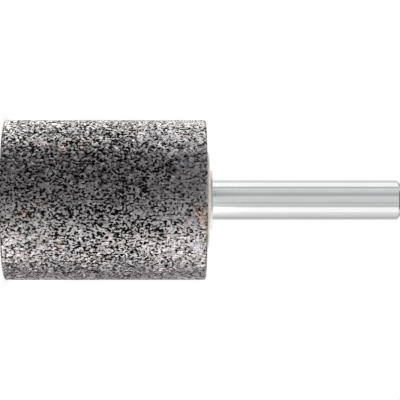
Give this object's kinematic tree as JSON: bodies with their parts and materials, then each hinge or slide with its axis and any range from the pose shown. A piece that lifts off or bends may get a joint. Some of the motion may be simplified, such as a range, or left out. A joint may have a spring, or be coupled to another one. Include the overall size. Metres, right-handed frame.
{
  "type": "mounted point",
  "caption": "Cylindrical mounted point: a coarse dark grey abrasive head cemented onto a plain round steel shank, for grinding in a collet.",
  "frame": {"origin": "centre of the head's flat nose, on which the part stands", "axes": "+Z along the tool's axis, from the nose towards the free end of the shank; X and Y are alike"},
  "size_m": [0.032, 0.032, 0.079],
  "materials": {
    "grit": "coarse dark grey bonded grit, dressed to size, open pored",
    "steel": "bright ground steel",
    "cement": "matt cream cement"
  },
  "bodies": {
    "root": {"abrasive_head": "grit", "shank": "steel", "cement": "cement"}
  },
  "joints": []
}
